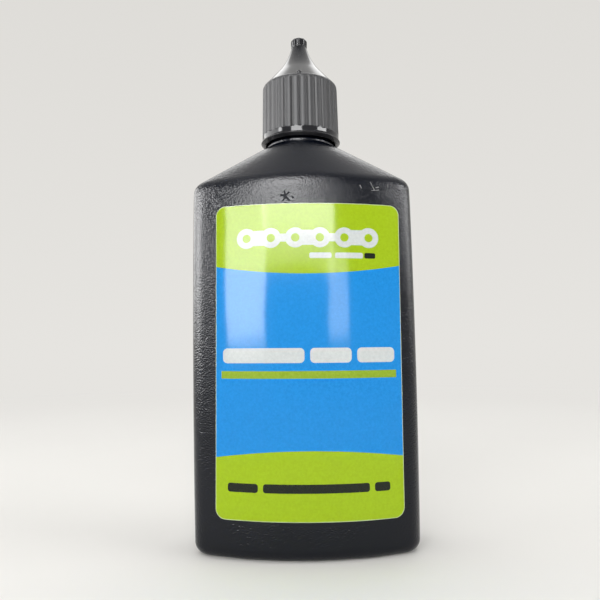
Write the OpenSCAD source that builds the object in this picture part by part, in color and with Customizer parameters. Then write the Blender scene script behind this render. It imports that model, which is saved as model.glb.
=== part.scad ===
// Chain lube bottle: a flat squeeze bottle with a ribbed screw cap, a nozzle insert and a front label.
// Millimetres. The origin is the centre of the base, +Z is up and the label faces -Y.

/* [Body] */
// Width across the sides at half height
body_w = 54.1; // [40:0.1:80]
// Depth over the bulged front and back
body_d = 30; // [20:0.1:50]
// Radius of the bulged front and back faces
face_r = 60; // [45:0.5:200]
// Radius of the upright corners
corner_r = 5; // [4:0.1:9]
// How much narrower each side is at the top and bottom than at half height
side_bow = 0.4; // [0:0.05:1.5]
// Wall thickness
wall = 1; // [0.6:0.05:2]
// Thickness of the floor beside the push-up
floor_t = 2.4; // [1:0.1:4]
// Radius of the rounded bottom edge
base_r = 2.8; // [1:0.1:4]
// Height of the push-up under the base
push_up = 1; // [0.3:0.1:2]

/* [Shoulder] */
// Height of the crease where the shoulder starts
crease_z = 87.8; // [60:0.1:140]
// Softness of the crease, measured along both surfaces
crease_soft = 1.9; // [0.4:0.1:4]
// Height of the shoulder, from the crease to the neck's collar
shoulder_h = 11.2; // [6:0.1:20]
// Height of the collar above the shoulder
collar_h = 0.45; // [0.2:0.05:0.6]
// How far the collar stands out from the neck
collar_out = 0.675; // [0.2:0.025:0.9]

/* [Neck] */
// Radius of the neck under its thread
neck_r = 8.025; // [7:0.025:12]
// Height of the neck, from the shoulder to the land at its top
neck_h = 13; // [9:0.1:20]
// Wall of the neck
neck_wall = 1.675; // [1:0.025:2.5]
// How far the thread stands out from the neck; the thread itself is not modelled here
thread_out = 0.8; // [0.5:0.05:1.2]

/* [Nozzle insert] */
// Thickness of the flange
flange_t = 0.6; // [0.4:0.05:1.2]
// How far the flange's edge stays inside the neck's outside
flange_in = 0.425; // [0:0.025:1]
// How deep the plug reaches into the neck
plug_depth = 6; // [3:0.1:9]
// Wall of the plug and the foot of the spout
plug_wall = 0.9; // [0.5:0.05:1.5]
// Radius of the spout at its foot
spout_r = 3.2; // [2:0.05:4]
// Radius of the spout at its end
spout_end_r = 1.15; // [0.9:0.05:1.5]
// How far the spout ends below the foot of the cap's tip
spout_low = 2.65; // [2:0.05:5]
// Radius of the hole in the spout
hole_r = 0.5; // [0.3:0.05:0.8]

/* [Cap skirt] */
// Height of the skirt's lower edge above the shoulder
skirt_up = 0.75; // [0.6:0.05:3]
// Thickness of the skirt at its lower end, over the ribs
skirt_wall = 0.9; // [0.8:0.05:2]
// How much smaller the radius over the ribs is at their top
skirt_draft = 0.23; // [0:0.01:0.4]
// How far the bead at the lower edge stands out
bead_out = 0.35; // [0.1:0.05:1]
// Height of the bead
bead_h = 0.9; // [0.5:0.05:2]
// Width of the bevel on top of the bead
bead_soft = 0.2; // [0.1:0.05:0.3]
// How far the slanting underside of the bead runs in
bead_under = 0.75; // [0.2:0.05:0.8]
// Height of the smooth band above the bead
band_h = 1.5; // [0.5:0.1:4]
// Number of ribs
rib_n = 30; // [16:1:40]
// Depth of the valleys between the ribs
rib_depth = 0.35; // [0.2:0.01:0.4]
// Radius of each rib
rib_r = 1.3; // [1.1:0.05:2]
// Radius of the rounding at the top of the ribs
rim_soft = 1.3; // [0.5:0.1:1.8]
// Height of the rim above the liner's seat
deck_t = 1.48; // [1:0.02:3]

/* [Cap cone] */
// Slope of the straight foot of the cone
cone_slope = 47.8; // [35:0.1:60]
// Radius of the cone's hollow curve
flare_r = 16.9; // [10:0.1:22]
// Slant of the cone at its top, away from upright
throat_lean = 15.3; // [5:0.1:25]
// Radius of the cone under its tip
throat_r = 1.97; // [1.7:0.01:2.6]
// Thickness of the cone
cone_wall = 1.2; // [0.8:0.05:1.5]
// Room between the spout's foot and the hollow of the cone
spout_room = 1.8; // [1:0.05:2.5]
// Room over the spout's end
spout_top_room = 0.7; // [0.3:0.05:1]
// How far the sealing pin reaches into the spout
pin_h = 1.2; // [0.5:0.05:3]
// Radius of the moulded dot at the foot of the cone
dot_r = 0.7; // [0.4:0.05:1]

/* [Tip] */
// How far the tip stands out from the top of the cone
tip_out = 0.11; // [0.05:0.01:0.4]
// Height of the tip
tip_h = 2.1; // [1.5:0.1:4]
// Number of flutes round the tip
flute_n = 10; // [6:1:12]
// Radius of each flute
flute_r = 0.34; // [0.2:0.01:0.45]
// Rounding of the tip's top edge
tip_soft = 0.75; // [0.2:0.05:1.2]

/* [Liner] */
// Thickness of the liner
liner_t = 0.75; // [0.4:0.05:1.5]
// How far the liner's outer edge stays from the skirt
liner_side = 0.75; // [0.2:0.05:1.5]

/* [Label] */
// Width of the label
label_w = 43.5; // [20:0.1:44]
// Height of the label
label_h = 72.5; // [30:0.1:80]
// Corner radius of the label
label_corner = 2.3; // [0.5:0.1:6]
// How far the label was stuck to the right of the middle
label_x = 1.1; // [-1.2:0.05:1.2]
// How far the label was stuck above the middle of the upright wall
label_up = 0.95; // [-3:0.05:3]
// Turn of the label, with its top to the right
label_turn = 0.5; // [-1:0.1:1]
// Thickness of the label film
label_t = 0.1; // [0.06:0.01:0.3]
// Thickness of the print on the film
ink_t = 0.03; // [0.02:0.01:0.1]
// How far the blue field stays inside the label's sides
ink_edge = 0.1; // [0:0.05:1]
// Height of the blue field at the sides of the label
blue_h = 44.2; // [20:0.1:60]
// How far the blue field's middle lies below the label's middle
blue_down = 0.2; // [-5:0.1:5]
// Sag of its upper border at the middle
blue_sag = 2.1; // [0.1:0.1:5]
// Rise of its lower border at the middle
blue_rise = 1.8; // [0.1:0.1:5]
// How far the green bar stays inside the label's sides
bar_edge = 1.4; // [0.5:0.1:10]
// Height of the green bar
bar_h = 1.75; // [0.5:0.05:5]
// How far the bar lies below the label's middle
bar_down = 3.4; // [-15:0.1:15]
// Distance between the pins of the chain sign
link_pitch = 5.7; // [4:0.1:6]
// Radius of the ends of its links
link_r = 2.35; // [1:0.05:3]
// Height of the chain sign above the label's middle
link_up = 28.2; // [26:0.1:32]

/* [Fits] */
// Radial gap between the plug and the neck's bore
plug_gap = 0.02; // [0:0.01:0.1]
// Gap between the land and the flange, and above and below the liner
seat_gap = 0.02; // [0.01:0.01:0.1]
// Radial gap between the neck's thread and the skirt's bore
thread_gap = 0.125; // [0.05:0.025:0.4]
// Radial gap between the sealing pin and the spout's hole
pin_gap = 0.08; // [0.02:0.01:0.2]
// Gap between the bottle's face and the label film
film_gap = 0.005; // [0:0.005:0.05]

/* [Hidden] */
// Segments of the outline: half of a face, one corner, half of a side
n_face = 8;
n_corner = 7;
n_side = 3;
quarter_n = n_face + n_corner + n_side;
ring_n = 4 * quarter_n;
face_y = face_r - body_d / 2;
// The flat strips of a face end where its corners start at the narrowest width
face_turn = asin((body_w / 2 - side_bow - corner_r) / (face_r - corner_r));
wall_top = crease_z - crease_soft;
neck_z = crease_z + shoulder_h;
land_z = neck_z + neck_h;
bore_r = neck_r - neck_wall;
collar_r = neck_r + collar_out;
flange_z = land_z + seat_gap;
flange_r = neck_r - flange_in;
liner_z = flange_z + flange_t + seat_gap;
seat_z = liner_z + liner_t + seat_gap;
// The skirt, from its bore outwards
skirt_bore_r = neck_r + thread_out + thread_gap;
skirt_r = skirt_bore_r + skirt_wall;
skirt_top_r = skirt_r - skirt_draft;
core_r = skirt_r - rib_depth;
core_top_r = skirt_top_r - rib_depth;
bead_r = skirt_r + bead_out;
skirt_z = neck_z + skirt_up;
band_z = skirt_z + bead_h;
rib_z = band_z + band_h;
// The cone: a straight foot, then a hollow curve that touches it and ends under the tip
cone_turn = 90 - cone_slope;
cone_r = throat_r + flare_r * (cos(throat_lean) - cos(cone_turn));
cone_z = seat_z + deck_t + (skirt_top_r - cone_r) * tan(cone_slope);
flare_x = cone_r + flare_r * cos(cone_turn);
flare_z = cone_z + flare_r * sin(cone_turn);
throat_z = flare_z - flare_r * sin(throat_lean);
tip_r = throat_r + tip_out;
tip_z = throat_z + 2 * tip_out;
tip_top = tip_z + tip_h;
// The hollow of the cone over the spout, and the pin in it
spout_z = throat_z - spout_low;
pin_r = hole_r - pin_gap;
cave_r = spout_r + spout_room;
cave_flare = flare_r + cone_wall;
cave_low = asin(min(sin(cone_turn), sqrt(1 - pow((flare_x - cave_r) / cave_flare, 2))));
cave_top = spout_z + spout_top_room;
liner_in_r = cave_r + 0.1;
liner_out_r = skirt_bore_r - liner_side;
film_r = face_r + film_gap;
ink_r = film_r + label_t;
label_z = (base_r + wall_top) / 2 + label_up;

$fn = 96;

function arc(x, y, r, from, to, n) =
  [for (i = [0:n]) let (a = from + (to - from) * i / n) [x + r * cos(a), y + r * sin(a)]];

// The end of a face's strip k, counted from the middle of the front, at radius r.
function face_point(k, r) = let (a = face_turn * k / n_face) [r * sin(a), face_y - r * cos(a)];

// One quarter of the outline, from the middle of the front face to the middle of the right side.
// w is the full width there and d is how far the outline is moved inwards.
function quarter(k, w, d) =
  let (xc = w / 2 - corner_r,
       yc = face_y - sqrt(pow(face_r - corner_r, 2) - xc * xc),
       a0 = atan2(xc, face_y - yc))
  k <= n_face ? face_point(k, face_r - d) :
  k <= n_face + n_corner ?
    let (a = a0 + (90 - a0) * (k - n_face) / n_corner)
      [xc + (corner_r - d) * sin(a), yc - (corner_r - d) * cos(a)] :
    [w / 2 - d, yc * (1 - (k - n_face - n_corner) / n_side)];

function outline(i, w, d) =
  let (q = floor(i / quarter_n), k = i % quarter_n)
  q == 0 ? quarter(k, w, d) :
  q == 1 ? let (p = quarter(quarter_n - k, w, d)) [p.x, -p.y] :
  q == 2 ? let (p = quarter(k, w, d)) [-p.x, -p.y] :
    let (p = quarter(quarter_n - k, w, d)) [-p.x, p.y];

function width(z) = body_w - 2 * side_bow * pow((z - crease_z / 2) / (crease_z / 2), 2);

function ring(z, d, s = 1) = [for (i = [0:ring_n - 1]) let (p = outline(i, width(z), d)) [p.x * s, p.y * s, z]];

// The neck's end of the shoulder: a circle whose points are spread like those of the outline.
function neck_point(i, r, z) =
  let (p = outline(i, body_w, 0), a = atan2(p.x / body_w, -p.y / body_d)) [r * sin(a), -r * cos(a), z];

// The shoulder: a soft crease, then straight lines up to the neck.
function shoulder(u, z, soft, d, r, top) =
  [for (i = [0:ring_n - 1])
    let (o = outline(i, width(z), d), b = [o.x, o.y, z], e = neck_point(i, r, top),
         a = b - [0, 0, soft], dir = (e - b) / norm(e - b), c = b + dir * soft)
    u <= 1 ? a * (1 - u) * (1 - u) + b * 2 * u * (1 - u) + c * u * u : c + (e - c) * (u - 1)];

module loft(rows) {
  n = ring_n;
  m = len(rows);
  polyhedron(
    points = [for (r = rows) each r],
    faces = concat(
      [[for (i = [0:n - 1]) i]],
      [for (k = [0:m - 2]) for (i = [0:n - 1]) [k * n + i, (k + 1) * n + i, (k + 1) * n + (i + 1) % n]],
      [for (k = [0:m - 2]) for (i = [0:n - 1]) [k * n + i, (k + 1) * n + (i + 1) % n, k * n + (i + 1) % n]],
      [[for (i = [n - 1:-1:0]) (m - 1) * n + i]]));
}

module bottle() {
  outer = concat(
    [ring(push_up, base_r, 0.78), ring(push_up * 0.8, base_r, 0.83), ring(push_up * 0.2, base_r, 0.87),
     ring(0, base_r, 0.9)],
    [for (b = [0:5]) ring(base_r * (1 - cos(b * 18)), base_r * (1 - sin(b * 18)))],
    [for (k = [1:5]) ring(base_r + (wall_top - base_r) * k / 6, 0)],
    [for (k = [0:4]) shoulder(k / 4, crease_z, crease_soft, 0, collar_r - 0.4, neck_z + 0.15)],
    [for (k = [1:4]) shoulder(1 + k / 4, crease_z, crease_soft, 0, collar_r - 0.4, neck_z + 0.15)]);
  inner = concat(
    [for (b = [0:3]) ring(floor_t + base_r * 0.8 * (1 - cos(b * 30)), wall + base_r * 0.8 * (1 - sin(b * 30)))],
    [for (k = [1:5]) ring(floor_t + base_r + (wall_top - floor_t - base_r) * k / 6, wall)],
    [for (k = [0:3]) shoulder(k / 3, crease_z - wall / 2, crease_soft, wall, bore_r - 0.3, neck_z + 0.2)],
    [for (k = [1:3]) shoulder(1 + k / 3, crease_z - wall / 2, crease_soft, wall, bore_r - 0.3, neck_z + 0.2)]);
  color([0.05, 0.05, 0.055]) difference() {
    union() {
      loft(outer);
      translate([0, 0, neck_z - 1]) cylinder(r = collar_r, h = 1 + collar_h);
      translate([0, 0, neck_z - 1]) cylinder(r = neck_r, h = land_z - neck_z + 1);
    }
    loft(inner);
    translate([0, 0, neck_z - 2]) cylinder(r = bore_r, h = land_z - neck_z + 3);
  }
}

module nozzle_insert() {
  r = bore_r - plug_gap;
  foot = flange_z + flange_t / 2;
  color([0.86, 0.87, 0.88]) difference() {
    union() {
      translate([0, 0, land_z - plug_depth]) cylinder(r = r, h = foot - land_z + plug_depth);
      translate([0, 0, flange_z]) cylinder(r = flange_r, h = flange_t);
      translate([0, 0, foot]) cylinder(r1 = spout_r, r2 = spout_end_r, h = spout_z - foot);
    }
    translate([0, 0, land_z - plug_depth - 1]) cylinder(r = r - plug_wall, h = plug_depth);
    translate([0, 0, land_z - 2]) cylinder(r1 = spout_r - plug_wall, r2 = hole_r, h = spout_z - land_z - 1);
    translate([0, 0, land_z]) cylinder(r = hole_r, h = spout_z - land_z + 1);
  }
}

// Stands a flat shape upright on the label, in the label's own place and turn.
module on_label() {
  translate([label_x, 0, label_z]) rotate([0, label_turn, 0]) rotate([90, 0, 0])
    linear_extrude(height = body_d) children();
}

// The layer between two radii of the front face. It follows the flat strips of the bottle and turns round
// its corners, so that a wide label does too.
module layer(from, to) {
  n = n_face + n_corner;
  intersection() {
    linear_extrude(height = crease_z) polygon(concat(
      [for (k = [-n:n]) layer_point(k, to)], [for (k = [n:-1:-n]) layer_point(k, from)]));
    children();
  }
}

function layer_point(k, r) =
  let (p = abs(k) > n_face ? quarter(abs(k), body_w, face_r - r) : face_point(abs(k), r)) [sign(k) * p.x, p.y];

module rounded(w, h, r) {
  square([w - 2 * r, h], center = true);
  square([w, h - 2 * r], center = true);
  for (x = [-1, 1], y = [-1, 1]) translate([x * (w / 2 - r), y * (h / 2 - r)]) circle(r = r);
}

module front_label() {
  color([0.6, 0.8, 0.2]) layer(film_r, film_r + label_t) on_label() rounded(label_w, label_h, label_corner);
}

module blue_shape() {
  half = label_w / 2 - ink_edge;
  top_r = (half * half + blue_sag * blue_sag) / (2 * blue_sag);
  low_r = (half * half + blue_rise * blue_rise) / (2 * blue_rise);
  translate([0, -blue_down]) difference() {
    square([2 * half, blue_h], center = true);
    translate([0, blue_h / 2 - blue_sag + top_r]) circle(r = top_r, $fn = 400);
    translate([0, -blue_h / 2 + blue_rise - low_r]) circle(r = low_r, $fn = 400);
  }
}

module bar_shape() {
  translate([0, -bar_down]) square([label_w - 2 * bar_edge, bar_h], center = true);
}

module label_blue() {
  color([0.17, 0.6, 0.92]) layer(ink_r, ink_r + ink_t) on_label() difference() {
    blue_shape();
    bar_shape();
  }
}

module label_bar() {
  color([0.6, 0.78, 0.15]) layer(ink_r, ink_r + ink_t) on_label() bar_shape();
}

// A sign of five chain links where the photographed label has words.
module label_chain() {
  color([0.94, 0.96, 0.92]) layer(ink_r, ink_r + ink_t) on_label() translate([0, link_up]) difference() {
    union() {
      for (k = [0:5]) translate([(k - 2.5) * link_pitch, 0]) circle(r = link_r);
      for (k = [-1:1]) translate([2 * k * link_pitch, 0]) square([link_pitch, 1.5 * link_r], center = true);
      square([3 * link_pitch, 0.8 * link_r], center = true);
    }
    for (k = [0:5]) translate([(k - 2.5) * link_pitch, 0]) circle(r = 0.42 * link_r);
  }
}

module cap_liner() {
  color([0.9, 0.9, 0.88]) difference() {
    translate([0, 0, liner_z]) cylinder(r = liner_out_r, h = liner_t);
    translate([0, 0, liner_z - 1]) cylinder(r = liner_in_r, h = liner_t + 2);
  }
}

// Half of the cap's smooth body: skirt, rounded rim and straight foot of the cone.
// r is the skirt's radius at the bottom and top_r at the top, and low sinks the cone's foot.
function cap_side(r, top_r, low) =
  let (x = top_r - rim_soft,
       line = cone_z * cos(cone_slope) + cone_r * sin(cone_slope) - low,
       z = (line - rim_soft - x * sin(cone_slope)) / cos(cone_slope))
  concat([[0, rib_z - 0.3], [r, rib_z - 0.3], [r, rib_z]], arc(x, z, rim_soft, 0, cone_turn, 6),
    [[cone_r, cone_z - low / cos(cone_slope)], [0, cone_z - low / cos(cone_slope)]]);

module cap_body() {
  rotate_extrude() polygon(cap_side(core_r, core_top_r, 0));
  // Bead and smooth band
  rotate_extrude() polygon([
    [0, skirt_z], [bead_r - bead_under, skirt_z], [bead_r, band_z - bead_soft],
    [bead_r - bead_soft, band_z], [skirt_r + 0.02, band_z + 0.05],
    [skirt_r - 0.02, rib_z - 0.25], [core_r, rib_z], [0, rib_z]]);
  // Hollow curve of the cone
  rotate_extrude() polygon(concat(
    [[0, cone_z - 0.5], [cone_r - 0.2, cone_z - 0.5]],
    arc(flare_x, flare_z, flare_r, 180 + cone_turn, 180 + throat_lean, 10),
    [[throat_r, throat_z + 0.05], [0, throat_z + 0.05]]));
  // Tip
  rotate_extrude() polygon(concat(
    [[0, throat_z - 0.2], [throat_r - 0.1, throat_z - 0.2], [tip_r, tip_z]],
    arc(tip_r - tip_soft, tip_top - tip_soft, tip_soft, 0, 90, 5), [[0, tip_top]]));
  // Ribs, trimmed to the rounded rim
  intersection() {
    for (k = [0:rib_n - 1]) rotate([0, 0, 360 / rib_n * (k + 0.5) - 90])
      translate([skirt_r - rib_r, 0, rib_z - 0.1]) cylinder(r1 = rib_r, r2 = rib_r - skirt_draft, h = cone_z - rib_z - 2);
    rotate_extrude() polygon(cap_side(skirt_r + 0.01, skirt_top_r + 0.01, 0.06));
  }
  // Moulded dot at the front of the cone's foot
  translate([0, -core_top_r + 0.85, cone_z + (cone_r - core_top_r + 0.85) * tan(cone_slope) - 0.65 * dot_r])
    sphere(r = dot_r, $fn = 32);
}

module cap() {
  color([0.07, 0.07, 0.075]) union() {
    difference() {
      cap_body();
      for (k = [0:flute_n - 1]) rotate([0, 0, 360 / flute_n * k - 90])
        translate([tip_r + 0.06, 0, tip_z + 0.5]) {
          cylinder(r = flute_r, h = tip_h + 1, $fn = 16);
          sphere(r = flute_r, $fn = 16);
        }
      translate([0, 0, skirt_z - 1]) cylinder(r = skirt_bore_r, h = seat_z - skirt_z + 1);
      rotate_extrude() polygon(concat(
        [[0, seat_z - 1], [cave_r, seat_z - 1]],
        arc(flare_x, flare_z, cave_flare, 180 + cave_low, 180 + asin((flare_z - cave_top) / cave_flare), 6),
        [[0, cave_top]]));
    }
    translate([0, 0, spout_z - pin_h]) cylinder(r = pin_r, h = cave_top - spout_z + pin_h + 1);
  }
}

bottle();
nozzle_insert();
front_label();
label_blue();
label_bar();
label_chain();
cap_liner();
cap();
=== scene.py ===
import bpy
import bmesh
import math
import numpy as np
from mathutils import Matrix, Vector


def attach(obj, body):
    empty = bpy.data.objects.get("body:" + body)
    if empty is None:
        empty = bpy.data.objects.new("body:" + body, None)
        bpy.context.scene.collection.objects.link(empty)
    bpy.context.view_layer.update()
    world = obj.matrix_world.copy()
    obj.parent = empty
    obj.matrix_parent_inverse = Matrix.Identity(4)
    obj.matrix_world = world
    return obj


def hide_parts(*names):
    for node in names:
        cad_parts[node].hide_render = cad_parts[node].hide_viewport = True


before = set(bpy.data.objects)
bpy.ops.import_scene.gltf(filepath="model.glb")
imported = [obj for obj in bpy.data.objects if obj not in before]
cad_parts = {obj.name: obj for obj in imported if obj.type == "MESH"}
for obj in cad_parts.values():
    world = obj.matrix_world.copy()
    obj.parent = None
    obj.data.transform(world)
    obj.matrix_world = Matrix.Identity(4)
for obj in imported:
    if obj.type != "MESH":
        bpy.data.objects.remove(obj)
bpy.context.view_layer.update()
print("frame loaded")

mm = 0.001  # sizes are in millimetres unless a note says otherwise


# Mesh helpers

def smoothStep(a, b, x):
    t = np.clip((x - a) / (b - a), 0, 1)
    return t * t * (3 - 2 * t)


def arcPoints(x, y, r, start, end, count, skip=0):
    angles = [math.radians(start + (end - start) * i / count) for i in range(skip, count + 1)]
    return [(x + r * math.cos(a), y + r * math.sin(a)) for a in angles]


def addObject(name, mesh, sharp):
    mesh.shade_smooth()
    mesh.set_sharp_from_angle(angle=math.radians(sharp))
    obj = bpy.data.objects.new(name, mesh)
    bpy.context.scene.collection.objects.link(obj)
    return obj


# A closed skin from rings of points: a pole, then the rings, then a pole.
# The rings run anticlockwise seen from above, and their order makes the skin face outwards.
def closedSkin(name, rings, firstPole, lastPole, sharp):
    m, n = len(rings), len(rings[0])
    verts = np.concatenate([np.asarray(rings, float).reshape(-1, 3), [firstPole, lastPole]]) * mm
    i = np.arange(n)
    j = (i + 1) % n
    faces = []
    for k in range(m - 1):
        a, b = k * n, (k + 1) * n
        faces += np.stack([a + i, a + j, b + j, b + i], 1).tolist()
    faces += np.stack([j, i, np.full(n, m * n)], 1).tolist()
    last = (m - 1) * n
    faces += np.stack([last + i, last + j, np.full(n, m * n + 1)], 1).tolist()
    mesh = bpy.data.meshes.new(name)
    mesh.from_pydata([tuple(v) for v in verts], [], faces)
    mesh.validate()
    return addObject(name, mesh, sharp)


# Bottle: a lofted skin with wall thickness, collar, threaded neck and bore.
# The sizes are those of the part's source.
body = {"width": 54.1, "depth": 30.0, "faceRadius": 60.0, "cornerRadius": 5.0, "sideBow": 0.4,
        "wall": 1.0, "floor": 2.4, "baseRadius": 2.8, "pushUp": 1.0, "crease": 87.8, "creaseSoft": 1.9,
        "neckFoot": 99.0, "collarRadius": 8.7, "collarHeight": 0.45, "neckRadius": 8.025,
        "boreRadius": 6.35, "land": 112.0,
        "faceSteps": 26, "cornerSteps": 16, "sideSteps": 10}
# The cap's thread starts half a turn on from the neck's; a ridge has a width at its foot and at its crest
thread = {"pitch": 3.175, "start": 103.3, "runOut": 0.08,
          "neckOut": 0.8, "neckTurns": 1.9, "neckPhase": 0.0, "neckRidge": (1.7, 0.7),
          "capOut": 0.66, "capTurns": 2.0, "capPhase": 0.5, "capRidge": (1.3, 0.5)}
faceY = body["faceRadius"] - body["depth"] / 2


# A quarter of the section, d inside the outer face: bulged front, corner, flat side
def quarterOutline(w, d):
    xc = w / 2 - body["cornerRadius"]
    yc = faceY - math.sqrt((body["faceRadius"] - body["cornerRadius"]) ** 2 - xc * xc)
    a0 = math.atan2(xc, faceY - yc)
    r, c = body["faceRadius"] - d, body["cornerRadius"] - d
    faceN, cornerN, sideN = body["faceSteps"], body["cornerSteps"], body["sideSteps"]
    pts = []
    for k in range(faceN):
        a = a0 * k / faceN
        pts.append((r * math.sin(a), faceY - r * math.cos(a)))
    for k in range(cornerN):
        a = a0 + (math.pi / 2 - a0) * k / cornerN
        pts.append((xc + c * math.sin(a), yc - c * math.cos(a)))
    pts += [(w / 2 - d, yc * (1 - k / sideN)) for k in range(sideN + 1)]
    return np.array(pts)


def outline(w, d=0.0):
    q = quarterOutline(w, d)
    back = q[::-1] * [1, -1]
    half = np.concatenate([q, back[1:]])
    return np.concatenate([half, -half[1:-1]])


def widthAt(z):
    middle = body["crease"] / 2
    return body["width"] - 2 * body["sideBow"] * ((z - middle) / middle) ** 2


def ring(z, d=0.0, scale=1.0):
    o = outline(widthAt(z), d) * scale
    return np.column_stack([o, np.full(len(o), z)])


wideOutline = outline(body["width"])
neckAngle = np.arctan2(wideOutline[:, 0] / body["width"], -wideOutline[:, 1] / body["depth"])


def neckRing(r, z):
    r = np.broadcast_to(r, neckAngle.shape)
    return np.column_stack([r * np.sin(neckAngle), -r * np.cos(neckAngle), np.full(len(neckAngle), float(z))])


# From the wall over the softened crease and up the hipped shoulder to a round ring at the neck
def shoulderRings(z, d, r, top, creaseSteps, slopeSteps):
    soft = body["creaseSoft"]
    b = ring(z, d)
    e = neckRing(r, top)
    a = b - [0, 0, soft]
    c = b + (e - b) / np.linalg.norm(e - b, axis=1)[:, None] * soft
    out = [a * (1 - u) ** 2 + b * 2 * u * (1 - u) + c * u * u for u in np.linspace(0, 1, creaseSteps + 1)]
    return out + [c + (e - c) * u for u in np.linspace(0, 1, slopeSteps + 1)[1:]]


# The thread's ridge at an angle and height: 1 on its crest, 0 at its root
def threadShape(angle, z, turns, phase, footWidth, crestWidth):
    along = (z - thread["start"]) / thread["pitch"] - angle / (2 * math.pi) - phase
    nearest = np.round(along)
    off = np.abs(along - nearest) * thread["pitch"]
    shape = 1 - smoothStep(crestWidth / 2, footWidth / 2, off)
    t = nearest + angle / (2 * math.pi)
    runOut = thread["runOut"]
    return shape * smoothStep(-runOut, runOut, t) * (1 - smoothStep(turns - runOut, turns + runOut, t))


# Outside: push-up and standing rim, as shares of the foot's outline
baseR = body["baseRadius"]
rings = [ring(body["pushUp"], baseR, scale) for scale in (0.3, 0.6, 0.74)]
for u in np.linspace(0, 1, 7):
    rings.append(ring(body["pushUp"] * (1 - float(smoothStep(0, 1, u))), baseR, 0.78 + 0.1 * u))
rings += [ring(0.0, baseR, scale) for scale in (0.91, 0.95, 0.98)]
for a in np.linspace(0, math.pi / 2, 13):
    rings.append(ring(baseR * (1 - math.cos(a)), baseR * (1 - math.sin(a))))

# Wall, shoulder and collar
wallTop = body["crease"] - body["creaseSoft"]
rings += [ring(z) for z in np.linspace(baseR, wallTop, 22)[1:-1]]
collarR, collarTop = body["collarRadius"], body["neckFoot"] + body["collarHeight"]
rings += shoulderRings(body["crease"], 0, collarR, body["neckFoot"] - 0.15, 12, 16)
collarProfile = [(collarR, body["neckFoot"]), (collarR, collarTop - 0.15), (collarR - 0.05, collarTop - 0.05),
                 (collarR - 0.15, collarTop), (body["neckRadius"] + 0.25, collarTop),
                 (body["neckRadius"] + 0.07, collarTop + 0.07)]
rings += [neckRing(r, z) for r, z in collarProfile]

# Neck with its thread, land and bore
for z in np.linspace(collarTop + 0.25, body["land"] - 0.3, 110):
    ridge = threadShape(neckAngle - math.pi / 2, z, thread["neckTurns"], thread["neckPhase"], *thread["neckRidge"])
    rings.append(neckRing(body["neckRadius"] + thread["neckOut"] * ridge, z))
neckR, boreR, land = body["neckRadius"], body["boreRadius"], body["land"]
landProfile = [(neckR - 0.08, land - 0.08), (neckR - 0.3, land), (boreR + 0.1, land), (boreR, land - 0.1)]
rings += [neckRing(r, z) for r, z in landProfile]
rings += [neckRing(boreR, z) for z in (110, 106, 102, 100)]

# Inside: shoulder, wall and floor
inside = shoulderRings(body["crease"] - body["wall"] / 2, body["wall"], boreR, body["neckFoot"] - 0.1, 6, 8)
rings += inside[::-1]
innerR = baseR * 0.8
rings += [ring(z, body["wall"]) for z in np.linspace(wallTop - 1, body["floor"] + innerR, 8)]
for b in np.linspace(90, 0, 7)[1:]:
    b = math.radians(b)
    rings.append(ring(body["floor"] + innerR * (1 - math.cos(b)), body["wall"] + innerR * (1 - math.sin(b))))
bottle = closedSkin("bottle_skin", rings, (0, 0, body["pushUp"]), (0, 0, body["floor"]), 35)
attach(bottle, "bottle")
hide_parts("bottle")
print("bottle made", len(bottle.data.polygons))


# Cap: one closed skin, reeded outside and threaded inside, with its hollow cone and sealing pin

cap = {"pointsRound": 420, "ribs": 30, "ribDepth": 0.35, "ribSharpness": 2.8, "ribFoot": 102.15,
       "skirtRadius": 9.85, "draft": 0.23, "rimRadius": 1.3, "ribFade": (6, 36), "low": 99.75, "band": 100.65,
       "beadRadius": 10.2, "beadUnder": 0.75, "beadSoft": 0.2, "beadCorner": 0.1,
       "coneSlope": 47.8, "coneRadius": 5.757, "coneFoot": 119.154,
       "flareX": 18.277, "flareZ": 130.506, "flareRadius": 16.9,
       "throatLean": 15.3, "throatRadius": 1.97, "throatTop": 126.047,
       "tipRadius": 2.08, "tipFoot": 126.267, "tipTop": 128.367, "tipSoft": 0.75,
       "flutes": 10, "fluteRadius": 0.34, "fluteUp": 0.5,
       "boreRadius": 8.95, "seat": 113.41, "hollowRadius": 5.0, "hollowTop": 124.097, "coneWall": 1.2,
       "pinRadius": 0.42, "pinEnd": 122.197,
       "dotRadius": 0.7, "dotWide": 1.1, "dotIn": 0.85, "dotSunk": 0.65}
capTheta = np.arange(cap["pointsRound"]) * 2 * math.pi / cap["pointsRound"] - math.pi / 2
ribPitch = 2 * math.pi / cap["ribs"]
# A valley faces the front, so the crests lie half a pitch to either side
fromCrest = np.abs((capTheta + math.pi / 2) % ribPitch - ribPitch / 2) * cap["skirtRadius"]
valley = np.minimum(fromCrest / (ribPitch * cap["skirtRadius"] / 2), 1) ** cap["ribSharpness"]
reed = cap["ribDepth"] * valley
flutePitch = 2 * math.pi / cap["flutes"]
fromFlute = np.abs((capTheta + math.pi / 2 + flutePitch / 2) % flutePitch - flutePitch / 2) * cap["tipRadius"]
groove = np.sqrt(np.maximum(cap["fluteRadius"] ** 2 - fromFlute ** 2, 0))


def capRing(r, z):
    r = np.broadcast_to(r, capTheta.shape)
    z = np.broadcast_to(z, capTheta.shape)
    return np.column_stack([r * np.cos(capTheta), r * np.sin(capTheta), z])


def capRings(profile):
    return [capRing(r, z) for r, z in profile]


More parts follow.
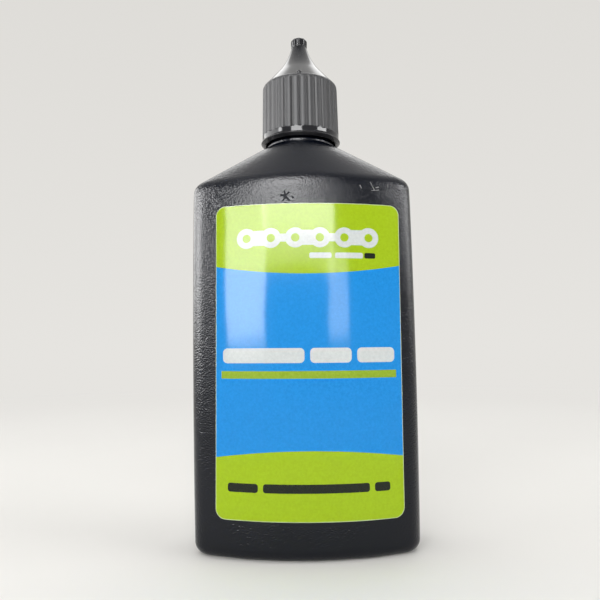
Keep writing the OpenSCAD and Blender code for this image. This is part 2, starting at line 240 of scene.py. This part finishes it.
# The bead's underside slants inwards, with its corners broken
corner = cap["beadCorner"]
edgeZ = cap["band"] - cap["beadSoft"]
slant = math.degrees(math.atan2(cap["beadUnder"], edgeZ - cap["low"]))
lowX = cap["beadRadius"] - cap["beadUnder"] - corner * math.tan(math.radians(90 - slant) / 2)
edgeX = cap["beadRadius"] - corner / math.cos(math.radians(slant / 2 + 22.5))
rows = capRings(arcPoints(lowX, cap["low"] + corner, corner, -90, -slant, 3))
rows += capRings(arcPoints(edgeX, edgeZ, corner, -slant, 45, 6))
# The smooth band over it
skirtR = cap["skirtRadius"]
rows += capRings([(cap["beadRadius"] - cap["beadSoft"], cap["band"]), (skirtR + 0.04, cap["band"] + 0.03),
                  (skirtR, cap["band"] + 0.12), (skirtR, cap["band"] + 0.5), (skirtR, cap["ribFoot"] - 0.35)])
# The ribs start over a short step
for k, z in enumerate(np.linspace(cap["ribFoot"] - 0.2, cap["ribFoot"], 5)):
    rows.append(capRing(skirtR - reed * smoothStep(0, 1, k / 4), z))
rimR = cap["rimRadius"]
rimX = skirtR - cap["draft"] - rimR
slope = math.radians(cap["coneSlope"])
coneLine = cap["coneFoot"] * math.cos(slope) + cap["coneRadius"] * math.sin(slope)
rimZ = (coneLine - rimR - rimX * math.sin(slope)) / math.cos(slope)
for z in np.linspace(cap["ribFoot"] + 0.5, rimZ, 14):
    r = skirtR - cap["draft"] * (z - cap["ribFoot"]) / (rimZ - cap["ribFoot"])
    rows.append(capRing(r - reed, z))
# They die out over the rounded rim, between two angles, so its upper edge is a plain ring
rimEnd = 90 - cap["coneSlope"]
for a in np.linspace(0, rimEnd, 13)[1:]:
    depth = rimR - reed * (1 - float(smoothStep(*cap["ribFade"], a)))
    a = math.radians(a)
    rows.append(capRing(rimX + depth * math.cos(a), rimZ + depth * math.sin(a)))
endR = rimX + rimR * math.cos(math.radians(rimEnd))
endZ = rimZ + rimR * math.sin(math.radians(rimEnd))
for u in (0.04, 0.12, 0.5, 0.75):
    rows.append(capRing(endR + (cap["coneRadius"] - endR) * u, endZ + (cap["coneFoot"] - endZ) * u))
flare = (cap["flareX"], cap["flareZ"])
rows += capRings(arcPoints(*flare, cap["flareRadius"], 180 + rimEnd, 180 + cap["throatLean"], 22))
rows += capRings([(cap["throatRadius"], cap["throatTop"] + 0.06), (cap["tipRadius"] - 0.03, cap["tipFoot"] - 0.04),
                  (cap["tipRadius"], cap["tipFoot"] + 0.05)])
# The tip's flutes are round grooves that end in a ball shape above its foot
fluteLow = cap["tipFoot"] + cap["fluteUp"]
tipSoft = cap["tipSoft"]
roundingZ = cap["tipTop"] - tipSoft
tipRows = [(cap["tipRadius"], z) for z in np.linspace(fluteLow - cap["fluteRadius"] - 0.02, roundingZ, 12)]
tipRows += arcPoints(cap["tipRadius"] - tipSoft, roundingZ, tipSoft, 0, 84, 9, 1)
for r, z in tipRows:
    drop = max(0.0, fluteLow - z)
    reach = np.sqrt(np.maximum(groove ** 2 - drop ** 2, 0))
    rows.append(capRing(np.minimum(r, cap["tipRadius"] + 0.06 - reach), z))
rows += capRings([(1.05, cap["tipTop"] - 0.005), (0.6, cap["tipTop"])])

# Inside: the mouth, the thread, the seat, the hollow of the cone and the pin
boreR, low, seat = cap["boreRadius"], cap["low"], cap["seat"]
innerRows = capRings([(boreR + 0.3, low), (boreR + 0.06, low + 0.08), (boreR, low + 0.3)])
for z in np.linspace(low + 0.45, seat - 0.81, 74):
    ridge = threadShape(capTheta, z, thread["capTurns"], thread["capPhase"], *thread["capRidge"])
    innerRows.append(capRing(boreR - thread["capOut"] * ridge, z))
hollowR, hollowTop, pinR, pinEnd = cap["hollowRadius"], cap["hollowTop"], cap["pinRadius"], cap["pinEnd"]
innerRows += capRings([(boreR, seat - 0.1), (boreR - 0.1, seat), (7, seat),
                       (hollowR + 0.08, seat), (hollowR, seat + 0.08)])
innerFlare = cap["flareRadius"] + cap["coneWall"]
hollowEnd = 180 + math.degrees(math.asin((cap["flareZ"] - hollowTop) / innerFlare))
innerRows += capRings(arcPoints(*flare, innerFlare, 180 + rimEnd, hollowEnd, 12))
innerRows += capRings([(pinR + 0.1, hollowTop), (pinR, hollowTop - 0.1), (pinR, pinEnd + 0.1), (pinR - 0.1, pinEnd)])
capSkin = closedSkin("cap_skin", innerRows[::-1] + rows, (0, 0, pinEnd), (0, 0, cap["tipTop"]), 50)
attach(capSkin, "cap")
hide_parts("cap")
print("cap made", len(capSkin.data.polygons))

# A small moulded dot on the foot of the cone, at the front
dotR = cap["dotRadius"]
dotY = -(skirtR - cap["draft"] - cap["ribDepth"] - cap["dotIn"])
dotZ = cap["coneFoot"] + (cap["coneRadius"] + dotY) * math.tan(slope) - cap["dotSunk"] * dotR
bm = bmesh.new()
bmesh.ops.create_uvsphere(bm, u_segments=40, v_segments=20, radius=dotR * mm)
bmesh.ops.scale(bm, vec=(cap["dotWide"], 1, 1), verts=bm.verts)
bmesh.ops.translate(bm, vec=(0, dotY * mm, dotZ * mm), verts=bm.verts)
dotMesh = bpy.data.meshes.new("cap_dot")
bm.to_mesh(dotMesh)
bm.free()
dot = addObject("cap_dot", dotMesh, 180)
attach(dot, "cap")


# Label: a film bent round the front face, with its print in thin layers on it

label = {"width": 43.5, "height": 72.5, "corner": 2.3, "x": 1.1, "z": 45.3, "turn": math.radians(0.5),
         "film": 0.1, "ink": 0.02, "gap": 0.005, "paleRim": 0.12, "strip": 0.8,
         "blueHigh": 21.9, "sagHigh": 2.1, "blueLow": -22.3, "sagLow": 1.8}


def roundedOutline(cx, cy, w, h, r, steps=12):
    x, y = w / 2 - r, h / 2 - r
    pts = []
    for cornerX, cornerY, a in ((x, y, 0), (-x, y, 90), (-x, -y, 180), (x, -y, 270)):
        pts += [(cx + px, cy + py) for px, py in arcPoints(cornerX, cornerY, r, a, a + 90, steps)]
    return pts


# A filled flat mesh from closed outlines; an outline inside another is a hole
def flatMesh(name, shapes):
    curve = bpy.data.curves.new(name, "CURVE")
    curve.dimensions = "2D"
    curve.fill_mode = "BOTH"
    for pts in shapes:
        spline = curve.splines.new("POLY")
        spline.points.add(len(pts) - 1)
        for p, (x, y) in zip(spline.points, pts):
            p.co = (x, y, 0, 1)
        spline.use_cyclic_u = True
    curveObj = bpy.data.objects.new(name + "_flat", curve)
    bpy.context.scene.collection.objects.link(curveObj)
    mesh = bpy.data.meshes.new_from_object(curveObj.evaluated_get(bpy.context.evaluated_depsgraph_get()))
    bpy.data.objects.remove(curveObj)
    return mesh


# A flat shape, cut into narrow strips, given thickness from low to high and bent onto the face
def labelPiece(name, shapes, low, high):
    bm = bmesh.new()
    bm.from_mesh(flatMesh(name, shapes))
    bmesh.ops.remove_doubles(bm, verts=bm.verts, dist=1e-5)
    bmesh.ops.triangulate(bm, faces=bm.faces)
    x0, x1 = min(v.co.x for v in bm.verts), max(v.co.x for v in bm.verts)
    for x in np.arange(x0 + label["strip"], x1 - label["strip"] / 4, label["strip"]):
        geom = bm.verts[:] + bm.edges[:] + bm.faces[:]
        bmesh.ops.bisect_plane(bm, geom=geom, dist=1e-6, plane_co=(x, 0, 0), plane_no=(1, 0, 0))
    for f in bm.faces:
        if f.normal.z < 0:
            f.normal_flip()
    top = bm.faces[:]
    copy = bmesh.ops.duplicate(bm, geom=bm.verts[:] + bm.edges[:] + bm.faces[:])
    lowVerts = [g for g in copy["geom"] if isinstance(g, bmesh.types.BMVert)]
    lowFaces = [g for g in copy["geom"] if isinstance(g, bmesh.types.BMFace)]
    pairs = copy["vert_map"]
    for f in lowFaces:
        f.normal_flip()
    for f in top:
        for v in f.verts:
            v.co.z = high
    for v in lowVerts:
        v.co.z = low
    rim = [e for e in bm.edges if len(e.link_faces) == 1 and abs(e.verts[0].co.z - high) < 1e-7]
    for e in rim:
        a, b = e.link_loops[0].vert, e.link_loops[0].link_loop_next.vert
        bm.faces.new((b, a, pairs[a], pairs[b]))
    ct, st = math.cos(label["turn"]), math.sin(label["turn"])
    for v in bm.verts:
        x, y, depth = v.co
        px = label["x"] + x * ct + y * st
        pz = label["z"] - x * st + y * ct
        r = body["faceRadius"] + label["gap"] + depth
        v.co = (px * mm, (faceY - math.sqrt(r * r - px * px)) * mm, pz * mm)
    bmesh.ops.recalc_face_normals(bm, faces=bm.faces[:])
    out = bpy.data.meshes.new(name)
    bm.to_mesh(out)
    bm.free()
    obj = addObject(name, out, 30)
    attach(obj, "bottle")
    return obj


# One curved border of the blue field: sag is its height, and sign -1 bends it downwards
def arcBorder(half, y, sag, sign):
    r = (half * half + sag * sag) / (2 * sag)
    return [(x, y + sign * (sag - (r - math.sqrt(r * r - x * x)))) for x in np.linspace(-half, half, 48)]


# The heights of the film and of the first, second and third layer of ink
layers = [label["film"] + k * label["ink"] for k in range(4)]
w, h, paleRim = label["width"], label["height"], label["paleRim"]
filmOutline = roundedOutline(0, 0, w, h, label["corner"])
labelFilm = labelPiece("label_film", [filmOutline], 0, layers[0])
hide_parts("front_label")
greenOutline = roundedOutline(0, 0, w - 2 * paleRim, h - 2 * paleRim, label["corner"] - paleRim)
greenInk = labelPiece("label_green_ink", [greenOutline], layers[0], layers[1])
highBorder = arcBorder(w / 2 - paleRim, label["blueHigh"], label["sagHigh"], -1)
lowBorder = arcBorder(w / 2 - paleRim, label["blueLow"], label["sagLow"], 1)
blueInk = labelPiece("label_blue_ink", [highBorder + lowBorder[::-1]], layers[1], layers[2])
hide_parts("label_blue")
barInk = labelPiece("label_bar_ink", [roundedOutline(0, -3.4, 40.7, 1.75, 0.15, 3)], layers[2], layers[3])
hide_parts("label_bar")

# Five plain chain links at the top; the plates' half heights and the hole are shares of the eye's radius
chain = {"eyes": 6, "pitch": 5.7, "radius": 2.35, "y": 28.2, "outerPlate": 0.75, "innerPlate": 0.4, "hole": 0.42}


def linkShapes():
    eyes, r, y = chain["eyes"], chain["radius"], chain["y"]
    centres = [(k - (eyes - 1) / 2) * chain["pitch"] for k in range(eyes)]
    outerA = math.degrees(math.asin(chain["outerPlate"]))
    innerA = math.degrees(math.asin(chain["innerPlate"]))
    top, low = [], []
    for k, cx in enumerate(centres):
        startA = 0 if k == 0 else outerA if k % 2 else innerA
        endA = 0 if k == eyes - 1 else innerA if k % 2 else outerA
        pts = arcPoints(cx, y, r, 180 - startA, endA, 24)
        top += pts
        low += [(x, 2 * y - v) for x, v in pts]
    holes = [arcPoints(cx, y, chain["hole"] * r, 0, 345, 23) for cx in centres]
    return [top + low[::-1][1:-1]] + holes


chainInk = labelPiece("label_chain_ink", linkShapes(), layers[1], layers[2])
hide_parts("label_chain")


# A row of plain rounded bars with even gaps
def barRow(name, widths, start, y, h, gap, low):
    shapes, x = [], start
    for w in widths:
        shapes.append(roundedOutline(x + w / 2, y, w, h, min(h, w) * 0.3, 6))
        x += w + gap
    obj = labelPiece(name, shapes, low, low + label["ink"])
    return obj


titleInk = barRow("label_title_ink", (19.0, 9.5, 8.8), -19.95, 1.0, 3.4, 1.3, layers[2])
noteInk = barRow("label_note_ink", (5.15, 6.55), 0.35, 24.0, 1.3, 0.8, layers[1])
noteEnd = barRow("label_note_end", (2.6,), 13.2, 24.0, 1.3, 0.8, layers[1])
footInk = barRow("label_foot_ink", (7.0, 24.2, 3.6), -18.8, -28.9, 2.0, 1.2, layers[1])
print("label made")


# Node helpers

def newMaterial(name):
    mat = bpy.data.materials.new(name)
    mat.use_nodes = True
    nodes, links = mat.node_tree.nodes, mat.node_tree.links
    nodes.clear()
    out = nodes.new("ShaderNodeOutputMaterial")
    bsdf = nodes.new("ShaderNodeBsdfPrincipled")
    links.new(bsdf.outputs[0], out.inputs[0])
    return mat, nodes, links, bsdf


def noiseNode(nodes, links, coord, scale, detail=2.0, rough=0.5):
    node = nodes.new("ShaderNodeTexNoise")
    node.inputs["Scale"].default_value = scale
    node.inputs["Detail"].default_value = detail
    node.inputs["Roughness"].default_value = rough
    links.new(coord, node.inputs["Vector"])
    return node.outputs["Fac"]


def rampNode(nodes, links, source, low, high, a, b):
    ramp = nodes.new("ShaderNodeValToRGB")
    ramp.color_ramp.elements[0].position = low
    ramp.color_ramp.elements[1].position = high
    ramp.color_ramp.elements[0].color = (*a, 1)
    ramp.color_ramp.elements[1].color = (*b, 1)
    links.new(source, ramp.inputs["Fac"])
    return ramp.outputs["Color"]


def rangeNode(nodes, links, source, low, high, toLow, toHigh, kind="LINEAR"):
    node = nodes.new("ShaderNodeMapRange")
    node.interpolation_type = kind
    node.inputs["From Min"].default_value = low
    node.inputs["From Max"].default_value = high
    node.inputs["To Min"].default_value = toLow
    node.inputs["To Max"].default_value = toHigh
    links.new(source, node.inputs["Value"])
    return node.outputs["Result"]


def mathNode(nodes, links, kind, *values):
    node = nodes.new("ShaderNodeMath")
    node.operation = kind
    for socket, value in zip(node.inputs, values):
        if isinstance(value, (int, float)):
            socket.default_value = value
        else:
            links.new(value, socket)
    return node.outputs[0]


def vectorNode(nodes, links, kind, *values):
    node = nodes.new("ShaderNodeVectorMath")
    node.operation = kind
    for socket, value in zip(node.inputs, values):
        if isinstance(value, Vector):
            socket.default_value = value
        else:
            links.new(value, socket)
    return node


# A blend of two colours, each a socket or a fixed colour
def mixNode(nodes, links, factor, a, b, kind="MIX"):
    node = nodes.new("ShaderNodeMix")
    node.data_type = "RGBA"
    node.blend_type = kind
    for name, value in (("Factor", factor), ("A", a), ("B", b)):
        if isinstance(value, tuple):
            node.inputs[name].default_value = (*value, 1)
        elif isinstance(value, float):
            node.inputs[name].default_value = value
        else:
            links.new(value, node.inputs[name])
    return node.outputs["Result"]


def bumpNode(nodes, links, height, strength, distance, normal=None):
    node = nodes.new("ShaderNodeBump")
    node.inputs["Strength"].default_value = strength
    node.inputs["Distance"].default_value = distance
    links.new(height, node.inputs["Height"])
    if normal is not None:
        links.new(normal, node.inputs["Normal"])
    return node.outputs[0]


def objectCoord(nodes):
    return nodes.new("ShaderNodeTexCoord").outputs["Object"]


def splitNode(nodes, links, vector):
    node = nodes.new("ShaderNodeSeparateXYZ")
    links.new(vector, node.inputs[0])
    return node.outputs


# Materials; distances in them are in metres

# A dull star-shaped dent left of the middle, above the label, and fine pale scratches right of it.
# Each stroke has two ends (x, z) and a half width, in millimetres.
scuffs = {"dull": [((-4.6, 83.55), (-3.9, 83.5), 0.26), ((-3.85, 84.5), (-3.65, 83.7), 0.2),
                   ((-2.85, 84.15), (-3.35, 83.7), 0.22), ((-3.45, 83.1), (-2.75, 82.3), 0.24),
                   ((-3.75, 83.5), (-3.6, 83.0), 0.42), ((-3.9, 82.7), (-4.1, 82.45), 0.2),
                   ((-1.95, 83.0), (-1.85, 82.9), 0.24)],
          "pale": [((16.4, 86.8), (17.35, 84.9), 0.13), ((18.4, 85.7), (17.7, 85.5), 0.14),
                   ((18.45, 85.0), (16.7, 84.75), 0.1), ((13.9, 85.9), (14.2, 85.3), 0.12)]}


# Strokes on the front face, as 1 inside and 0 outside
def strokes(nodes, links, coord, marks):
    xyz = splitNode(nodes, links, coord)
    flat = nodes.new("ShaderNodeCombineXYZ")
    links.new(xyz["X"], flat.inputs["X"])
    links.new(xyz["Z"], flat.inputs["Z"])
    total = None
    for (x0, z0), (x1, z1), halfWidth in marks:
        start, run = Vector((x0, 0, z0)) * mm, Vector((x1 - x0, 0, z1 - z0)) * mm
        away = vectorNode(nodes, links, "SUBTRACT", flat.outputs[0], start).outputs["Vector"]
        along = vectorNode(nodes, links, "DOT_PRODUCT", away, run).outputs["Value"]
        reach = vectorNode(nodes, links, "SCALE", run)
        links.new(rangeNode(nodes, links, along, 0, run.length_squared, 0, 1), reach.inputs["Scale"])
        off = vectorNode(nodes, links, "DISTANCE", away, reach.outputs["Vector"]).outputs["Value"]
        mask = rangeNode(nodes, links, off, 0.5 * halfWidth * mm, halfWidth * mm, 1, 0)
        total = mask if total is None else mathNode(nodes, links, "MAXIMUM", total, mask)
    front = rangeNode(nodes, links, xyz["Y"], -0.009, -0.008, 1, 0)  # none on the back
    return mathNode(nodes, links, "MULTIPLY", total, front)


# Black polyethylene with a blasted mould's fine grain, a slight orange peel and the mould's parting line
bottleFinish = {"dark": (0.0005, 0.0012, 0.004), "light": (0.002, 0.0035, 0.008), "scratch": (0.2, 0.2, 0.2),
                "roughness": (0.19, 0.23), "dullness": 0.6, "ior": 1.54, "specular": 0.27,
                "grainScale": 2800, "grainDepth": 0.000072, "peelScale": 260, "peelDepth": 0.00012,
                "seam": (0.00003, 0.00014), "seamDepth": 0.00006, "dentDepth": 0.0001}


def polyethylene():
    look = bottleFinish
    mat, nodes, links, bsdf = newMaterial("black_polyethylene_grain")
    coord = objectCoord(nodes)
    # Turned, so that the noise's own planes don't show as contours on the flat faces
    skew = nodes.new("ShaderNodeVectorRotate")
    skew.rotation_type = "EULER_XYZ"
    skew.inputs["Rotation"].default_value = (0.6, 0.5, 0.9)
    links.new(coord, skew.inputs["Vector"])
    grain = noiseNode(nodes, links, skew.outputs["Vector"], look["grainScale"], 0.2)
    speck = noiseNode(nodes, links, coord, 1500, 3, 0.7)
    cloud = noiseNode(nodes, links, coord, 60, 4)
    peel = noiseNode(nodes, links, coord, look["peelScale"], 2, 0.4)
    dull = strokes(nodes, links, coord, scuffs["dull"])
    pale = strokes(nodes, links, coord, scuffs["pale"])
    colour = rampNode(nodes, links, speck, 0.3, 0.75, look["dark"], look["light"])
    links.new(mixNode(nodes, links, pale, colour, look["scratch"]), bsdf.inputs["Base Color"])
    rough = rangeNode(nodes, links, cloud, 0.3, 0.7, *look["roughness"])
    worn = mathNode(nodes, links, "MULTIPLY", dull, look["dullness"])
    links.new(mathNode(nodes, links, "ADD", rough, worn), bsdf.inputs["Roughness"])
    bsdf.inputs["IOR"].default_value = look["ior"]
    bsdf.inputs["Specular IOR Level"].default_value = look["specular"]
    away = mathNode(nodes, links, "ABSOLUTE", splitNode(nodes, links, coord)["Y"])
    seam = rangeNode(nodes, links, away, *look["seam"], 1, 0)
    dent = mathNode(nodes, links, "MULTIPLY", dull, -1)
    normal = bumpNode(nodes, links, peel, 0.25, look["peelDepth"])
    normal = bumpNode(nodes, links, grain, 1.0, look["grainDepth"], normal)
    normal = bumpNode(nodes, links, seam, 0.7, look["seamDepth"], normal)
    normal = bumpNode(nodes, links, dent, 0.7, look["dentDepth"], normal)
    links.new(normal, bsdf.inputs["Normal"])
    return mat


# Black polypropylene: the reeded skirt is satin, and its lighter base colour there is painted sheen; the band below
# it and the cone are polished
capFinish = {"dark": (0.009, 0.009, 0.011), "light": (0.016, 0.016, 0.018), "satinAndSheen": (0.032, 0.032, 0.034),
             "satinFrom": (0.1019, 0.1023), "satinTo": (0.1153, 0.1157),
             "roughness": (0.09, 0.46), "ior": 1.5, "specular": 0.32}


def polypropylene():
    look = capFinish
    mat, nodes, links, bsdf = newMaterial("black_polypropylene_gloss")
    coord = objectCoord(nodes)
    cloud = noiseNode(nodes, links, coord, 130, 3)
    grain = noiseNode(nodes, links, coord, 2600, 2, 0.6)
    colour = rampNode(nodes, links, cloud, 0.35, 0.7, look["dark"], look["light"])
    z = splitNode(nodes, links, coord)["Z"]
    above = rangeNode(nodes, links, z, *look["satinFrom"], 0, 1)
    below = rangeNode(nodes, links, z, *look["satinTo"], 1, 0)
    satinAndSheen = mathNode(nodes, links, "MULTIPLY", above, below)
    # The satin skirt's lighter tint is painted sheen, the brightness its rough surface shows under light; its
    # roughness and grain are real
    links.new(mixNode(nodes, links, satinAndSheen, colour, look["satinAndSheen"]), bsdf.inputs["Base Color"])
    links.new(rangeNode(nodes, links, satinAndSheen, 0, 1, *look["roughness"]), bsdf.inputs["Roughness"])
    bsdf.inputs["IOR"].default_value = look["ior"]
    bsdf.inputs["Specular IOR Level"].default_value = look["specular"]
    normal = bumpNode(nodes, links, cloud, 0.12, 0.0002)
    normal = bumpNode(nodes, links, mathNode(nodes, links, "MULTIPLY", grain, satinAndSheen), 0.6, 0.00004, normal)
    links.new(normal, bsdf.inputs["Normal"])
    return mat


# Printed film under a clear gloss: a little uneven ink, and a surface that isn't quite flat
printFinish = {"roughness": 0.1, "ior": 1.55, "specular": 0.27}
inks = {"film": ((0.5, 0.58, 0.36), (0.6, 0.67, 0.45)), "green": ((0.3, 0.44, 0.003), (0.34, 0.5, 0.006)),
        "bar": ((0.23, 0.36, 0.015), (0.28, 0.41, 0.03)), "blue": ((0.003, 0.215, 0.6), (0.008, 0.255, 0.68)),
        "white": ((0.53, 0.56, 0.555), (0.6, 0.63, 0.625)), "black": ((0.004, 0.008, 0.003), (0.01, 0.015, 0.006))}


def printed(name, ink):
    mat, nodes, links, bsdf = newMaterial(name)
    coord = objectCoord(nodes)
    dots = noiseNode(nodes, links, coord, 1700, 2, 0.6)
    wave = noiseNode(nodes, links, coord, 45)
    unevenness = noiseNode(nodes, links, coord, 900)
    links.new(rampNode(nodes, links, dots, 0.3, 0.7, *inks[ink]), bsdf.inputs["Base Color"])
    bsdf.inputs["Roughness"].default_value = printFinish["roughness"]
    bsdf.inputs["IOR"].default_value = printFinish["ior"]
    bsdf.inputs["Specular IOR Level"].default_value = printFinish["specular"]
    normal = bumpNode(nodes, links, wave, 0.5, 0.0004)
    normal = bumpNode(nodes, links, unevenness, 0.12, 0.00003, normal)
    links.new(normal, bsdf.inputs["Normal"])
    return mat


# The nozzle insert's milky plastic lets some light through; the liner's foam doesn't
insertFinish = {"dark": (0.66, 0.67, 0.68), "light": (0.76, 0.77, 0.78), "roughness": 0.4, "through": 0.3}
linerFinish = {"dark": (0.74, 0.74, 0.7), "light": (0.84, 0.84, 0.81), "roughness": 0.7, "through": 0.0}


def softPlastic(name, look):
    mat, nodes, links, bsdf = newMaterial(name)
    cloud = noiseNode(nodes, links, objectCoord(nodes), 400, 3)
    links.new(rampNode(nodes, links, cloud, 0.3, 0.7, look["dark"], look["light"]), bsdf.inputs["Base Color"])
    bsdf.inputs["Roughness"].default_value = look["roughness"]
    bsdf.inputs["Subsurface Weight"].default_value = look["through"]
    bsdf.inputs["Subsurface Scale"].default_value = 0.001
    links.new(bumpNode(nodes, links, cloud, 0.3, 0.00005), bsdf.inputs["Normal"])
    return mat


def dress(mat, *objects):
    for obj in objects:
        if obj.material_slots:
            for slot in obj.material_slots:
                slot.material = mat
        else:
            obj.data.materials.append(mat)


dress(polyethylene(), bottle)
dress(polypropylene(), capSkin, dot)
dress(printed("film_edge", "film"), labelFilm)
dress(printed("green_print", "green"), greenInk)
dress(printed("bar_print", "bar"), barInk)
dress(printed("blue_print", "blue"), blueInk)
dress(printed("white_print", "white"), chainInk, titleInk, noteInk)
dress(printed("black_print", "black"), noteEnd, footInk)
dress(softPlastic("natural_polyethylene", insertFinish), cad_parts["nozzle_insert"])
dress(softPlastic("liner_foam", linerFinish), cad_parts["cap_liner"])
print("materials made")


# Floor and world

stage = {"floor": (0.785, 0.77, 0.735), "horizon": (0.79, 0.775, 0.745), "backdrop": (0.735, 0.72, 0.69),
         "room": (0.5, 0.505, 0.52), "fill": (0.16, 0.163, 0.167), "ceilingNear": 0.8, "ceilingRear": 1.85,
         "floorHalf": 4, "fade": (0.12, 0.55)}


# 1 for what the camera sees directly, in a shiny surface or through a clear one
def seenRay(nodes, links):
    path = nodes.new("ShaderNodeLightPath").outputs
    first = mathNode(nodes, links, "MAXIMUM", path["Is Camera Ray"], path["Is Glossy Ray"])
    return mathNode(nodes, links, "MAXIMUM", first, path["Is Transmission Ray"])


half = stage["floorHalf"]
floorMesh = bpy.data.meshes.new("floor")
floorMesh.from_pydata([(-half, -half, 0), (half, -half, 0), (half, half, 0), (-half, half, 0)], [], [(0, 1, 2, 3)])
floor = bpy.data.objects.new("floor", floorMesh)
bpy.context.scene.collection.objects.link(floor)
floorMat, nodes, links, bsdf = newMaterial("pale_floor")
coord = objectCoord(nodes)
cloud = noiseNode(nodes, links, coord, 4, 3)
darker, lighter = [[share * v for v in stage["floor"]] for share in (0.98, 1.02)]
links.new(rampNode(nodes, links, cloud, 0.3, 0.7, darker, lighter), bsdf.inputs["Base Color"])
bsdf.inputs["Roughness"].default_value = 0.9
bsdf.inputs["Specular IOR Level"].default_value = 0.0
# Far from the bottle the floor turns into the horizon's tone, so no edge shows
reach = vectorNode(nodes, links, "LENGTH", coord).outputs["Value"]
far = rangeNode(nodes, links, reach, *stage["fade"], 0, 1, "SMOOTHSTEP")
farSeen = mathNode(nodes, links, "MULTIPLY", far, seenRay(nodes, links))
glow = nodes.new("ShaderNodeEmission")
glow.inputs["Color"].default_value = (*stage["horizon"], 1)
fade = nodes.new("ShaderNodeMixShader")
links.new(farSeen, fade.inputs[0])
links.new(bsdf.outputs[0], fade.inputs[1])
links.new(glow.outputs[0], fade.inputs[2])
output = [n for n in nodes if n.type == "OUTPUT_MATERIAL"][0]
links.new(fade.outputs[0], output.inputs[0])
floor.data.materials.append(floorMat)

world = bpy.data.worlds.new("studio")
bpy.context.scene.world = world
world.use_nodes = True
nodes, links = world.node_tree.nodes, world.node_tree.links
nodes.clear()
where = splitNode(nodes, links, nodes.new("ShaderNodeTexCoord").outputs["Generated"])
# What is seen: a pale horizon all round, a pale backdrop behind the bottle and a greyer room before it
back = rangeNode(nodes, links, where["Y"], -0.3, 0.3, 0, 1)
behind = rampNode(nodes, links, where["Z"], 0.0, 0.5, stage["horizon"], stage["backdrop"])
before = rampNode(nodes, links, where["Z"], 0.0, 0.2, stage["horizon"], stage["room"])
tones = mixNode(nodes, links, back, before, behind)
# What lights the rest: an even, dimmer fill
lit = mixNode(nodes, links, seenRay(nodes, links), stage["fill"], tones)
# Overhead a soft ceiling, brighter towards the back, adds to both: it is seen and it lights as well
near = rangeNode(nodes, links, where["Y"], -0.5, -0.25, 0, stage["ceilingNear"], "SMOOTHSTEP")
rear = rangeNode(nodes, links, where["Y"], 0.4, 0.56, 0, stage["ceilingRear"], "SMOOTHSTEP")
steep = rangeNode(nodes, links, where["Z"], 0.55, 0.7, 0, 1, "SMOOTHSTEP")
ceiling = mathNode(nodes, links, "MULTIPLY", mathNode(nodes, links, "ADD", near, rear), steep)
light = nodes.new("ShaderNodeBackground")
links.new(mixNode(nodes, links, 1.0, lit, ceiling, "ADD"), light.inputs["Color"])
links.new(light.outputs[0], nodes.new("ShaderNodeOutputWorld").inputs[0])
print("floor and world made")


# Lamps. Each row has a name, the azimuth of the soft box's middle as the label sees it (to the right of
# the camera), its elevation, the angles that it spans across and up, all in degrees, and its level

lightBoxes = [("light_left", -32, 15, 22, 30, 4.3),
              ("light_top", -2.5, 28, 39, 34, 3.4),
              ("light_right", 18.5, 4.4, 11, 8.4, 2.5),
              ("light_side_left", -97, 18, 86, 30, 1.75),
              ("light_side_right", 76, 22, 32, 22, 4.4)]
# These only show as bright images in shiny surfaces, where 1 is white; side_left_far adds its distance
windowBoxes = [("window_left", -32, 8, 22, 16, 13),
               ("window_front", -2.5, 14, 39, 6, 15.5),
               ("window_top", -11, 31, 34, 28, 16),
               ("window_sill", -2.5, 9.4, 39, 3.2, 6.6),
               ("window_right", 18.5, 4.4, 11, 8.4, 6.6),
               ("side_left_low", -81, 9.3, 40, 13.4, 13),
               ("side_left_edge", -62, 21, 12, 10, 13.5),
               ("side_left_far", -100, 17, 80, 30, 3.8, 1.4),
               ("side_right_low", 97, 12, 26, 10, 7.3),
               ("side_right_high", 68, 21, 30, 10, 16)]
lampTarget = Vector((0, -0.015, 0.06))


def softBox(image, name, azimuth, elevation, across, high, level, distance=1.3):
    a, e = math.radians(azimuth), math.radians(elevation)
    away = Vector((math.sin(a) * math.cos(e), -math.cos(a) * math.cos(e), math.sin(e)))
    data = bpy.data.lights.new(name, "AREA")
    data.shape = "RECTANGLE"
    data.size = 2 * distance * math.tan(math.radians(across) * math.cos(e) / 2)
    data.size_y = 2 * distance * math.tan(math.radians(high) / 2)
    data.energy = level * math.pi * data.size * data.size_y
    data.cycles.use_multiple_importance_sampling = image
    lamp = bpy.data.objects.new(name, data)
    lamp.visible_camera = False
    lamp.visible_diffuse = not image
    lamp.visible_glossy = image
    lamp.location = lampTarget + away * distance
    lamp.rotation_euler = away.to_track_quat("Z", "Y").to_euler()
    bpy.context.scene.collection.objects.link(lamp)


for row in lightBoxes:
    softBox(False, *row)
for row in windowBoxes:
    softBox(True, *row)

# Camera at the photograph's view: focal length and width in pixels, place in millimetres, angles in radians
view = {"focal": 610.67, "pictureWidth": 600, "x": 1.3214, "distance": 154.78, "height": 48.66,
        "pitch": 0.0738, "yaw": 0.0141, "roll": -0.0172}
pitch, yaw, roll = view["pitch"], view["yaw"], view["roll"]
forward = Vector((-math.sin(yaw) * math.cos(pitch), math.cos(yaw) * math.cos(pitch), math.sin(pitch)))
levelRight = Vector((math.cos(yaw), math.sin(yaw), 0))
levelUp = levelRight.cross(forward)
right = math.cos(roll) * levelRight + math.sin(roll) * levelUp
up = -math.sin(roll) * levelRight + math.cos(roll) * levelUp
camData = bpy.data.cameras.new("camera")
camData.sensor_width = 36
camData.lens = view["focal"] / view["pictureWidth"] * camData.sensor_width
camData.clip_start = 0.01
camera = bpy.data.objects.new("camera", camData)
bpy.context.scene.collection.objects.link(camera)
place = Vector((view["x"], -view["distance"], view["height"])) * mm
camera.matrix_world = Matrix.Translation(place) @ Matrix((right, up, -forward)).transposed().to_4x4()
bpy.context.scene.camera = camera
bpy.context.scene.view_settings.view_transform = "Standard"
print("lamps and camera made")
